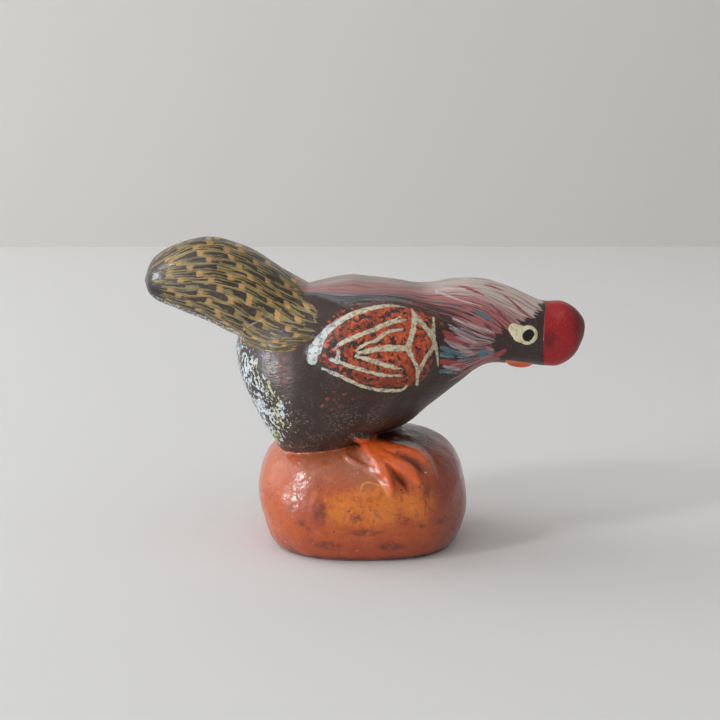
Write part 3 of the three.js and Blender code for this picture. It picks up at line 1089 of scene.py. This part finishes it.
def neck_bars(coat):
    """Single strokes over the hackle: bars low on the neck, and lines up to the crown."""
    along, across, _ = coat.field("hackle_flow")
    streak, fine, hair = bristle_marks(coat, along, across)
    edge = (fine - 0.5) * 0.7 + (streak - 0.5) * 0.4 + (hair - 0.5) * 0.3
    rose, mauve, teal = coat.field("bars")
    _, _, white = coat.field("face")
    red_line, _, _ = coat.field("lines")
    worn = hair.between(0.34, 0.5) * 0.45 + 0.55
    pale = coat.blend(srgb(176, 140, 144), srgb(206, 188, 186), fine.between(0.45, 0.6))
    coat.lay(pale, (mauve + edge).between(0.10, -0.06) * worn * 0.95, 0.06)
    bright = coat.blend(ROSE, srgb(196, 138, 138), streak.between(0.5, 0.68))
    coat.lay(bright, (rose + edge).between(0.10, -0.06) * worn * 0.95, 0.06)
    sea = coat.blend(TEAL, srgb(136, 160, 166), fine.between(0.5, 0.64))
    coat.lay(sea, (teal + edge).between(0.08, -0.05) * worn, 0.05)
    coat.lay(srgb(212, 206, 202), (white + edge * 0.6).between(0.06, -0.05) * worn * 0.9, 0.05)
    coat.lay(RED_LINE, (red_line + edge * 0.5).between(0.05, -0.05) * worn * 0.9, 0.03)

    spot = coat.noise(coat.place, 1.5, 1.0).between(0.50, 0.56)
    spots = spot * spread(coat, (16.0, 27.4), (1.2, 0.9))
    coat.lay(BLUE, spots.between(0.05, 0.25) * 0.7, 0.04)


def wing_paint(coat):
    """A rust-red leaf, mottled with the dark ground, under cream strokes."""
    outline, cream, _ = coat.field("wing")
    x, _, z = coat.parts(coat.place)
    mottle = coat.noise(coat.place, 1.5, 3.0, 0.64)
    blotch = coat.noise(coat.place, 0.5, 1.0)
    rearward = x.between(5.0, -5.0)
    bare = mottle + blotch * 0.26 - rearward * 0.085
    inset = outline * -1.0 + (mottle - 0.5) * 2.6 - x.between(7.6, 9.4) * 0.9
    red = inset.between(0.35, 0.75) * bare.between(0.54, 0.595)
    rust = coat.blend(RUST, RUST_LIGHT, coat.noise(coat.place, 2.4, 2.0).between(0.45, 0.68))
    rust = coat.blend(rust, srgb(126, 50, 38), blotch.between(0.50, 0.66) * 0.7)
    rust = coat.blend(rust, srgb(120, 50, 40), z.between(28.5, 25.5) * 0.45)
    coat.lay(rust, red, 0.05)
    rim = outline.absolute().between(1.1, 0.5) * z.between(31.0, 32.5)
    speck = coat.noise(coat.place, 2.1, 1.0).between(0.56, 0.60)
    coat.lay(rust, rim * speck * 0.9, 0.05)

    edge = (coat.noise(coat.scaled(coat.place, (0.6, 1.0, 1.4)), 1.7, 3.0, 0.6) - 0.5) * 0.5
    stroke = (cream + edge + 0.03).between(0.06, -0.06)
    streaks = coat.noise(coat.scaled(coat.place, (0.5, 1.0, 2.0)), 2.8, 2.0)
    left_end = x.between(-1.0, -5.5)
    pale = coat.blend(CREAM, PALE_BLUE, left_end * 0.85)
    dulled = streaks.between(0.5, 0.72) * (left_end * -0.6 + 1.0)
    pale = coat.blend(pale, srgb(178, 166, 136), dulled * 0.7)
    worn = coat.noise(coat.place, 1.9, 3.0, 0.6).between(0.38, 0.50) * 0.55 + 0.45
    coat.lay(pale, stroke * worn, 0.12)


def red_dots(coat):
    """Red dots on the belly, a few set down singly and finer ones scattered round them."""
    _, _, dots = coat.field("wing")
    edge = (coat.noise(coat.place, 2.4, 1.0) - 0.5) * 0.25
    coat.lay(srgb(146, 66, 50), (dots + edge).between(0.06, -0.06) * 0.75, 0.05)
    x, _, z = coat.parts(coat.place)
    scatter = coat.noise(coat.place, 2.2, 1.0).between(0.64, 0.70)
    area = (x + 1.0).absolute().between(4.6, 3.0) * (z - 21.8).absolute().between(2.2, 1.4)
    coat.lay(srgb(138, 58, 44), scatter * area * 0.5, 0.03)


def rump_flecks_and_sheen(coat):
    """Pale flecks sponged over the rump, thick at the back and thinning out towards the side; blue-white
    at the back edge, partly as painted sheen.
    """
    behind, _, _ = coat.field("body")
    x, _, z = coat.parts(coat.place)
    slanted = coat.scaled(coat.place, (1.25, 1.1, 0.8))
    fleck = coat.noise(slanted, 2.1, 3.0, 0.62)
    blot = coat.noise(coat.place, 0.42, 1.0)
    density = behind.between(-1.9, 2.6) * z.between(12.5, 15.0) * z.between(32.5, 28.5)
    need = density * -0.245 + 0.72 - (blot - 0.5) * 0.34
    flecks = (fleck - need).between(0.0, 0.035) * density.between(0.03, 0.2)
    warm = coat.noise(coat.place, 0.6, 1.0).between(0.34, 0.50) * behind.between(3.2, 1.5)
    warm = warm * z.between(28.5, 25.0)
    # Blue-white at the back edge and top, yellow further in; the blue-white flecks are partly painted
    # sheen.
    coat.lay(coat.blend(PALE_BLUE, PALE_YELLOW, warm), flecks * 0.95, 0.07)

    _, across, gap = coat.field("tail_flow")
    under = across.between(0.86, 0.96) * x.between(-13.0, -17.0) * gap.between(1.6, 0.9)
    need = under * -0.19 + 0.70
    coat.lay(PALE_BLUE, (fleck - need).between(0.0, 0.04) * under.between(0.05, 0.3) * 0.85, 0.05)


def face_paint(coat):
    """The red comb with painted shade at its rim, the orange beak and the eye, over the dark face."""
    x, y, z = coat.parts(coat.place)
    eye, pupil, _ = coat.field("face")
    soft = coat.noise(coat.place, 0.8, 3.0)
    fine = (coat.noise(coat.place, 2.0, 1.0) - 0.5) * 0.2
    comb = (x - 24.5 + y * y * 0.03 + fine).between(-0.08, 0.08)
    red = coat.blend(COMB_RED, srgb(188, 54, 54), soft.between(0.45, 0.7) * z.between(28, 33))
    # Painted shade: the comb darkened towards its front rim, where it curves away from the light.
    rim = (x + (z - 29.0).absolute() * 0.25 + (soft - 0.5) * 2.0).between(27.6, 29.6)
    red = coat.blend(red, COMB_DEEP, rim * 0.85)
    smudge = (x - 24.9).absolute().between(1.5, 0.3) * (z - 28.6).absolute().between(1.9, 0.6)
    red = coat.blend(red, COMB_DEEP, smudge * soft.between(0.3, 0.6) * 0.7)
    coat.lay(red, comb, 0.10)

    line = (z + x * 0.22 - 30.15 + fine).between(0.06, -0.06)
    beak = line * (x - 18.95 + fine).between(-0.06, 0.06) * x.between(23.2, 22.9)
    coat.lay(ORANGE, beak * y.absolute().between(3.6, 3.2), 0.05)

    cream = (eye + fine * 0.8).between(0.06, -0.06)
    warm = coat.noise(coat.place, 1.1, 2.0).between(0.5, 0.62)
    white = coat.blend(srgb(240, 230, 196), srgb(216, 190, 130), warm * 0.7)
    coat.lay(white, cream, 0.14)
    specks = coat.noise(coat.place, 3.4, 0.0).between(0.70, 0.74) * cream
    coat.lay(srgb(120, 70, 40), specks * z.between(29.4, 28.8) * 0.8)
    coat.lay(BLACK, (pupil + fine).between(0.05, -0.05), 0.10)


def dust(coat, amount):
    """Fine pale dust caught in the varnish."""
    x, _, z = coat.parts(coat.place)
    grain = coat.noise(coat.place, 3.6, 2.0, 0.6).between(0.50, 0.66)
    film = coat.noise(coat.place, 0.5, 2.0).between(0.34, 0.64)
    low = (z - 16.0).absolute().between(7.0, 3.0) * x.between(4.0, 0.0) * 0.7 + 0.3
    coat.lay(srgb(164, 146, 134), grain * film * low * amount)


def rock_glaze(coat):
    """Mottled orange-brown glaze, amber in front, dark low down, with painted light on the left and
    painted shade on the right.
    """
    x, _, z = coat.parts(coat.place)
    _, line, _ = coat.field("lines")
    broad = coat.noise(coat.place, 0.16, 3.0, 0.55)
    cloud = coat.noise(coat.scaled(coat.place, (1.0, 1.0, 1.2)), 0.36, 4.0, 0.6)
    small = coat.noise(coat.place, 1.2, 3.0, 0.62)
    coat.colour = GLAZE
    top = (z + (broad - 0.5) * 8.0 + (small - 0.5) * 1.5).between(10.0, 12.2)
    coat.lay(GLAZE_BROWN, top * x.between(-10.0, -7.5) * 0.9)
    shade = (x + 7.3 + (cloud - 0.5) * 3.0).absolute().between(2.6, 1.0)
    coat.lay(GLAZE_RED, shade * z.between(3.5, 5.5) * z.between(12.5, 10.5) * 0.7)
    # Painted light: lighter glaze down the left side, which faces the windows.
    coat.lay(PAINTED_LIGHT_GLAZE, (x + (cloud - 0.5) * 4.0).between(-8.8, -10.6) * 0.85)
    amber = spread(coat, (0.6, 8.1), (7.6, 3.7)) + spread(coat, (7.4, 8.2), (2.8, 2.8)) * 0.8
    edge = amber.least(1.0) + (cloud - 0.5) * 2.2 + (small - 0.5) * 0.8
    coat.lay(GLAZE_AMBER, edge.between(0.0, 1.1) * 0.9)
    coat.lay(srgb(244, 152, 70), (edge + (small - 0.5) * 1.4).between(1.0, 1.6) * 0.55)
    coat.lay(GLAZE_RED, small.between(0.50, 0.62) * z.between(12.0, 10.0) * 0.6)
    # Painted light: a lighter patch low on the left side.
    coat.lay(PAINTED_LIGHT_GLAZE, spread(coat, (-8.6, 3.6), (2.4, 1.8)) * cloud.between(0.38, 0.55) * 0.8)
    low = (z + (cloud - 0.5) * 6.0 + (small - 0.5) * 1.6).between(4.4, 2.0)
    coat.lay(GLAZE_RED, low * 0.8)
    coat.lay(GLAZE_DARK, (z + (cloud - 0.5) * 2.5).between(1.2, 0.1) * 0.75)
    # Painted shade: the glaze darkened towards the right side, away from the light.
    right = (x + (cloud - 0.5) * 5.0 + (z - 8.0) * 0.12).between(7.0, 12.0)
    coat.lay(srgb(132, 60, 46), right * 0.85)
    coat.lay(srgb(122, 56, 40), cloud.between(0.42, 0.30) * z.between(10.0, 7.0) * 0.75)
    for centre, radii in (
        ((-5.9, 7.2), (1.3, 2.2)),
        ((-8.4, 5.6), (0.6, 0.6)),
        ((0.2, 4.6), (2.6, 0.7)),
        ((-5.0, 2.6), (2.4, 0.9)),
        ((7.6, 5.2), (0.6, 0.5)),
        ((10.0, 5.4), (0.6, 0.5)),
        ((3.6, 2.4), (2.4, 0.8)),
        ((8.2, 9.4), (0.7, 1.6)),
    ):
        coat.lay(GLAZE_DARK, spread(coat, centre, radii) * small.between(0.3, 0.55) * 0.6)
    # Painted shade under the breast: the rock's top darkened where the breast overhangs it, for its shadow
    # and dark reflection.
    breast_shadow_on_rock = (z + (small - 0.5) * 0.6).between(13.3, 14.9) * x.between(-0.4, 0.9)
    coat.lay(PAINTED_SHADE_UNDER_BREAST, breast_shadow_on_rock * x.between(12.0, 8.0) * 0.95)

    coat.lay(YELLOW, (line + (small - 0.5) * 0.3).between(0.10, -0.06) * 0.75, 0.03)
    speck = coat.noise(coat.place, 2.3, 0.0)
    coat.lay(srgb(54, 26, 22), speck.between(0.82, 0.85) * 0.9)
    pale = coat.noise(coat.scaled(coat.place, (1.0, 1.0, 1.2)), 2.0, 0.0)
    coat.lay(YELLOW, pale.between(0.83, 0.86) * 0.8)
    coat.raise_by(broad * 0.4)
    coat.raise_by(cloud * 0.2)
    coat.raise_by(small * 0.05)


def foot_glaze(coat):
    """The orange of the leg and toes, run thin at the edges, with a painted highlight along the toes and
    painted shade in the grooves.
    """
    x, _, z = coat.parts(coat.place)
    _, foot, groove = coat.field("body")
    fine = coat.noise(coat.place, 1.3, 3.0, 0.6)
    cover = (foot + (fine - 0.5) * 1.4).between(0.15, -0.45) * z.between(9.2, 11.0)
    cover = cover * (x + (fine - 0.5) * 3.0).between(9.6, 7.4)
    coat.lay(ORANGE, cover * (fine.between(0.3, 0.6) * 0.3 + 0.7), 0.04)
    # Painted highlight: lighter orange along the middle of the leg and toes.
    coat.lay(srgb(238, 116, 56), cover * foot.between(-0.45, -0.9) * 0.6)
    # Painted shade: the grooves between the toes darkened.
    coat.lay(srgb(92, 46, 36), (groove + (fine - 0.5) * 0.3).between(0.08, -0.14) * 0.85)


def unglazed_foot(coat):
    """Bare clay where the rock was wiped clean to stand in the kiln."""
    z = coat.parts(coat.place)[2]
    grain = coat.noise(coat.place, 1.6, 4.0, 0.65)
    bare = (z + (coat.noise(coat.place, 0.5, 2.0) - 0.5) * 0.3).between(0.12, 0.02)
    coat.lay(coat.blend(RAW_CLAY, srgb(150, 84, 60), grain), bare)


def bird_material(name, colour, shade, layers, gloss, gloss_roughness=0.2):
    """Layers of paint over a ground coat of two browns, under varnish."""
    coat = Coat(name)
    ground(coat, colour, shade)
    for layer in layers:
        layer(coat)
    dust(coat, 0.42)
    roughness = coat.noise(coat.place, 0.7, 3.0) * 0.22 + 0.36
    return coat.varnish(roughness, gloss, gloss_roughness)


def rock_material(name):
    """The glaze of the rock and the feet, with bare clay at the bottom."""
    coat = Coat(name)
    rock_glaze(coat)
    foot_glaze(coat)
    dust(coat, 0.45)
    unglazed_foot(coat)
    roughness = coat.noise(coat.place, 0.9, 3.0) * 0.16 + 0.34
    return coat.varnish(roughness, 0.65, 0.09)


BROWN_SHADE = srgb(66, 52, 48)
BODY_LAYERS = [
    belly_wash,
    hackle_strokes,
    tail_strokes,
    wing_paint,
    red_dots,
    rump_flecks_and_sheen,
    foot_glaze,
]
HACKLE_LAYERS = [hackle_strokes, neck_bars, wing_paint, face_paint]
MATERIALS = {
    "body_paint": bird_material("body_paint", DARK_BROWN, BROWN_SHADE, BODY_LAYERS, 0.2),
    "tail_paint": bird_material(
        "tail_paint",
        srgb(52, 40, 35),
        srgb(46, 36, 32),
        [hackle_strokes, tail_strokes, rump_flecks_and_sheen],
        0.6,
        0.11,
    ),
    "hackle_paint": bird_material("hackle_paint", DARK_BROWN, BROWN_SHADE, HACKLE_LAYERS, 0.2),
    "face_paint": bird_material(
        "face_paint", FACE_BROWN, srgb(70, 60, 57), [hackle_strokes, neck_bars, face_paint], 0.2
    ),
    "rock_glaze": rock_material("rock_glaze"),
}
MATERIALS["wing_paint"] = MATERIALS["body_paint"]
MATERIALS["leg_glaze"] = MATERIALS["rock_glaze"]
for slot in ("comb_paint", "beak_paint", "eye_paint"):
    MATERIALS[slot] = MATERIALS["face_paint"]

for index, name in enumerate(NAMES):
    make_piece(name, quads[owners == index], MATERIALS[SLOTS[name]])

# ---- Floor, backdrop, light and camera ----

scene = bpy.context.scene
scene.view_settings.view_transform = "Standard"


def plain_sheet(name, size, place, tilt, colour):
    """A plain matt square behind or under the hen."""
    bpy.ops.mesh.primitive_plane_add(size=size, location=place, rotation=(tilt, 0, 0))
    sheet = bpy.context.object
    sheet.name = name
    pale = bpy.data.materials.new(name)
    pale.use_nodes = True
    shader = pale.node_tree.nodes["Principled BSDF"]
    shader.inputs["Base Color"].default_value = (*colour, 1)
    shader.inputs["Roughness"].default_value = 0.9
    sheet.data.materials.append(pale)


plain_sheet("floor", 4, (0, 0, 0), 0, linear(226, 224, 222))
plain_sheet("backdrop", 1.2, (0, 0.292, 0.6), math.pi / 2, linear(214, 211, 207))

AIM = Vector((-0.0007, 0, 0.0252))
CAMERA_DISTANCE = 0.22
CAMERA_HEIGHT_ANGLE = math.radians(12)
FOCAL_LENGTH = 80.1

camera_data = bpy.data.cameras.new("camera")
camera_data.lens = FOCAL_LENGTH
camera_data.clip_start = 0.01
camera = bpy.data.objects.new("camera", camera_data)
scene.collection.objects.link(camera)
back = Vector((0, -math.cos(CAMERA_HEIGHT_ANGLE), math.sin(CAMERA_HEIGHT_ANGLE)))
camera.location = AIM + CAMERA_DISTANCE * back
camera.rotation_euler = (-back).to_track_quat("-Z", "Y").to_euler()
scene.camera = camera

world = bpy.data.worlds.new("room")
world.use_nodes = True
world.node_tree.nodes["Background"].inputs["Color"].default_value = (0.98, 0.99, 1.0, 1)
world.node_tree.nodes["Background"].inputs["Strength"].default_value = 0.4
scene.world = world


def window(name, place, width, height, power, colour):
    """An area light of this power in watts, turned towards the hen."""
    data = bpy.data.lights.new(name, "AREA")
    data.shape = "RECTANGLE"
    data.size = width
    data.size_y = height
    data.energy = power
    data.color = colour
    light = bpy.data.objects.new(name, data)
    light.location = place
    light.rotation_euler = (AIM - Vector(place)).to_track_quat("-Z", "Y").to_euler()
    scene.collection.objects.link(light)
    return light


LOW = (-0.45, -0.27, 0.06)
HIGH = (-0.42, -0.25, 0.34)
BLUISH = (0.92, 0.96, 1.0)
SKY = (0.9, 0.95, 1.0)
window("window_low", LOW, 0.07, 0.15, 1.0, BLUISH)
window("window_high", HIGH, 0.06, 0.08, 0.5, BLUISH)
window("window_back", (-0.44, 0.18, 0.26), 0.5, 0.5, 1.5, SKY)
window("ceiling", (-0.1, -0.15, 1.3), 2.2, 1.8, 5.0, (1.0, 0.99, 0.97))
# The glints only add to what the varnish reflects of the two front windows.
window("glint_low", LOW, 0.06, 0.13, 2.2, SKY).visible_diffuse = False
window("glint_high", HIGH, 0.05, 0.07, 1.2, SKY).visible_diffuse = False
